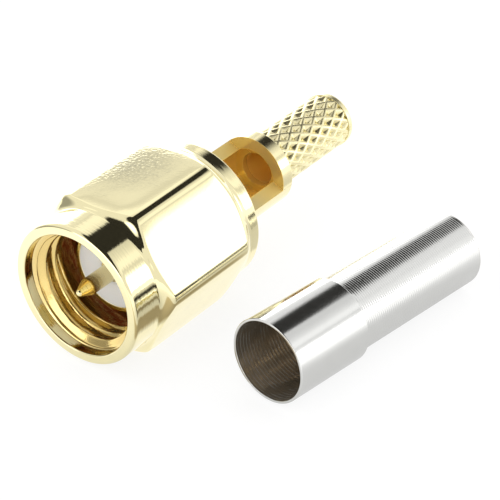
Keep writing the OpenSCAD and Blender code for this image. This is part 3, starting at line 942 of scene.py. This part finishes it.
# the camera sees it white, with the soft shadow of the pieces
glow = add_node(tree, "ShaderNodeEmission", Color=(1, 1, 1, 1), Strength=1.05)
paper = add_node(tree, "ShaderNodeBsdfDiffuse", Color=(1, 1, 1, 1))
bright = add_node(tree, "ShaderNodeMixShader", Fac=0.22, i1=glow.outputs[0], i2=paper.outputs[0])
for sight, look_of in ((ray["Is Glossy Ray"], in_mirror), (ray["Is Camera Ray"], bright)):
    surface = tree.nodes["Material Output"].inputs["Surface"].links[0].from_socket
    shown = add_node(tree, "ShaderNodeMixShader", Fac=sight, i1=surface, i2=look_of.outputs[0])
    tree.links.new(shown.outputs[0], tree.nodes["Material Output"].inputs["Surface"])
table_mesh.materials.append(table_material)


def toward(azimuth, elevation):
    """The unit vector at an azimuth from +X towards +Y and a height above the horizon."""
    a, e = math.radians(azimuth), math.radians(elevation)
    return Vector((math.cos(e) * math.cos(a), math.cos(e) * math.sin(a), math.sin(e)))


def pane(tree, direction, azimuth, elevation, width, height, softness):
    """How far a direction looks into a pane of the tent: 1 inside it and 0 outside.

    The pane stands square to its own direction, and nothing behind the plug counts. Its sizes
    and its softness are tangents of half its angles.
    """
    ahead = toward(azimuth, elevation)
    right = ahead.cross(Vector((0, 0, 1))).normalized()
    above = right.cross(ahead)
    parts = [add_node(
        tree, "ShaderNodeVectorMath", {"operation": "DOT_PRODUCT"}, i0=direction, i1=tuple(v),
    ).outputs["Value"] for v in (ahead, right, above)]
    mask = ramp(tree, parts[0], 0.05, 0.1)
    for part, size in ((parts[1], width), (parts[2], height)):
        off_middle = maths(tree, "ABSOLUTE", maths(tree, "DIVIDE", part, parts[0]))
        step = ramp(tree, off_middle, size + softness, size - softness)
        mask = maths(tree, "MULTIPLY", mask, step)
    return mask


world = bpy.data.worlds.new("light_tent")
bpy.context.scene.world = world
world.use_nodes = True
tree = world.node_tree
background = tree.nodes["Background"]
background.inputs["Color"].default_value = (1, 1, 1, 1)
direction = add_node(tree, "ShaderNodeTexCoord").outputs["Generated"]
level = 1.0  # the cloth's own; each pane adds to it or takes away
for azimuth, elevation, width, height, softness, strength in [
    (50, 3, 0.38, 0.36, 0.07, 1.8),
    (44, 34, 0.5, 0.03, 0.03, -0.3),
    (40, 40, 0.5, 0.12, 0.06, 0.22),
    (-52, 3.5, 0.3, 0.235, 0.06, 1.8),
    (-49, 17, 0.5, 0.05, 0.03, 0.2),
    (-48, 24, 0.5, 0.03, 0.03, -0.15),
    (-44, 31, 0.4, 0.08, 0.05, 0.22),
    (-30, 46, 0.4, 0.08, 0.08, -0.2),
    (176, 9, 0.55, 0.26, 0.07, 1.4),
    (120, 3, 0.5, 0.3, 0.2, -0.6),
]:
    mask = pane(tree, direction, azimuth, elevation, width, height, softness)
    level = maths(tree, "MULTIPLY_ADD", mask, strength, level)
seen = add_node(tree, "ShaderNodeLightPath").outputs["Is Camera Ray"]
shown = add_node(tree, "ShaderNodeMix", {"data_type": "FLOAT"}, Factor=seen, A=level, B=1.0)
tree.links.new(shown.outputs[0], background.inputs["Strength"])

# the dark flap: black cloth above the plug, which only metal sees. It grows thin towards its
# borders, which lie further out towards the camera and get softer towards the far end
flap_z, flap_x, flap_y = 60, (-110, 112), (-130, 80)
level_from, bend_far, bend_end = 42.0, 50.0, 68.0
flap_mesh = bpy.data.meshes.new("tent_flap")
flap_mesh.from_pydata([(x * mm, y * mm, flap_z * mm) for x, y in [
    (flap_x[0], flap_y[0]), (flap_x[1], flap_y[0]), (flap_x[1], flap_y[1]), (flap_x[0], flap_y[1]),
]], [], [(0, 1, 2, 3)])
flap = bpy.data.objects.new("tent_flap", flap_mesh)
bpy.context.scene.collection.objects.link(flap)
flap.visible_camera = flap.visible_diffuse = flap.visible_shadow = False
flap_material, tree, shader = new_material("black_cloth")
shader.inputs["Base Color"].default_value = (0.035, 0.034, 0.032, 1)
shader.inputs["Roughness"].default_value = 1.0
shader.inputs["Specular IOR Level"].default_value = 0.0
at = add_node(tree, "ShaderNodeSeparateXYZ", Vector=place_in_mm(tree)).outputs


def border(start, slope_near, slope_far):
    """Y of a border in mm: level in between, sloping towards the camera and to the far end."""
    near = add_node(
        tree, "ShaderNodeMapRange", Value=at["X"], From_Min=level_from, From_Max=float(flap_x[0]),
        To_Min=float(start), To_Max=start + (level_from - flap_x[0]) * slope_near,
    )
    far = add_node(
        tree, "ShaderNodeMapRange", Value=at["X"], From_Min=bend_far, From_Max=bend_end,
        To_Min=0.0, To_Max=(bend_end - bend_far) * slope_far,
    )
    return maths(tree, "ADD", near.outputs[0], far.outputs[0])


thick_right = ramp(tree, at["Y"], border(19, 0, 1.2), border(12, 0, 0.3))
thick_left = ramp(tree, at["Y"], border(-29, -0.7, -0.5), border(-25, -0.7, 1.5))
thick = maths(tree, "MULTIPLY", thick_right, thick_left)
gauze = add_node(tree, "ShaderNodeBsdfTransparent")
cloth = add_node(
    tree, "ShaderNodeMixShader", Fac=thick, i1=gauze.outputs[0], i2=shader.outputs[0],
)
tree.links.new(cloth.outputs[0], tree.nodes["Material Output"].inputs["Surface"])
flap_mesh.materials.append(flap_material)

# the camera stands in front of the mouth, to the ferrule's side, and looks down on the plug
camera_data = bpy.data.cameras.new("camera")
camera_data.lens, camera_data.sensor_width = 158.4, 36.0
camera_data.clip_start, camera_data.clip_end = 0.001, 10.0
camera = bpy.data.objects.new("camera", camera_data)
bpy.context.scene.collection.objects.link(camera)
stand = Vector((-66.971, -63.362, 57.719)) * mm
heading, height_angle, tilt = 39.125, -31.794, -3.372
turn = toward(heading, height_angle).to_track_quat("-Z", "Y").to_matrix().to_4x4()
roll = Matrix.Rotation(math.radians(tilt), 4, "Z")
camera.matrix_world = Matrix.Translation(stand) @ turn @ roll
bpy.context.scene.camera = camera
bpy.context.scene.view_settings.view_transform = "Standard"
